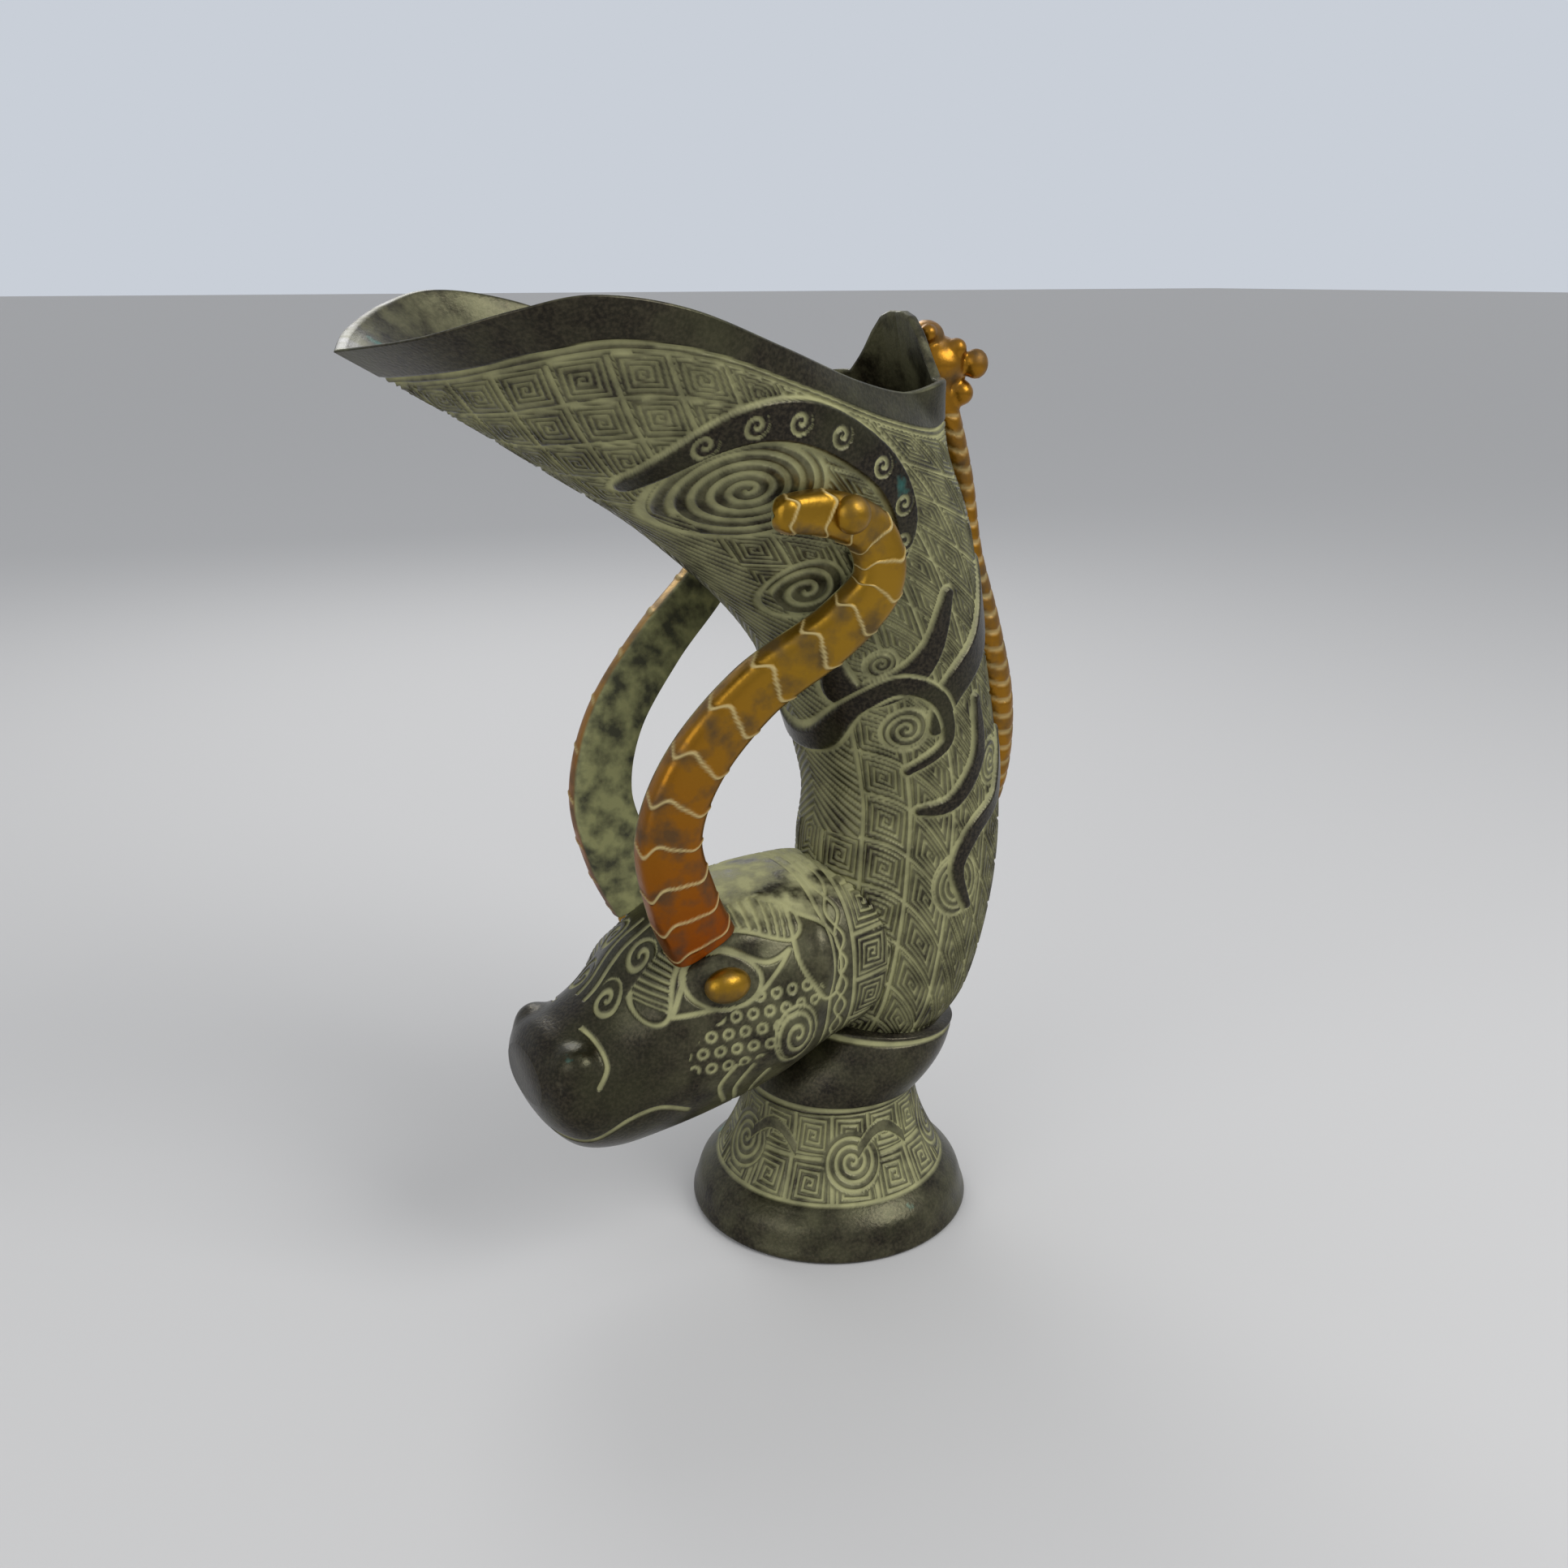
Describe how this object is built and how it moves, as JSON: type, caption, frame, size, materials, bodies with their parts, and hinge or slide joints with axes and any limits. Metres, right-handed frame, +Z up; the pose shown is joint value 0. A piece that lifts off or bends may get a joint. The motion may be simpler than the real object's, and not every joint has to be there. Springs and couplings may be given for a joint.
{
  "type": "bull head drinking cup",
  "caption": "Cast bronze drinking cup shaped as a curved horn with a wide spout, rising from a bull's head with long gilded horns, on a round flared foot.",
  "frame": {"origin": "on the table under the middle of the whole cup", "axes": "+Z up, the bull and the spout face -X, +Y is the bull's right side"},
  "size_m": [0.1882, 0.1054, 0.2591],
  "materials": {
    "dark_bronze": "dark brown patina with pale green dust in the cast grooves",
    "gilt_bronze": "worn amber gilding"
  },
  "bodies": {
    "root": {"vessel_body": "dark_bronze", "bull_head": "dark_bronze", "neck_collar": "dark_bronze", "foot": "dark_bronze", "dragon": "gilt_bronze", "left_horn": "gilt_bronze", "right_horn": "gilt_bronze", "left_eye": "gilt_bronze", "right_eye": "gilt_bronze", "left_horn_stud": "gilt_bronze", "right_horn_stud": "gilt_bronze"}
  },
  "joints": []
}
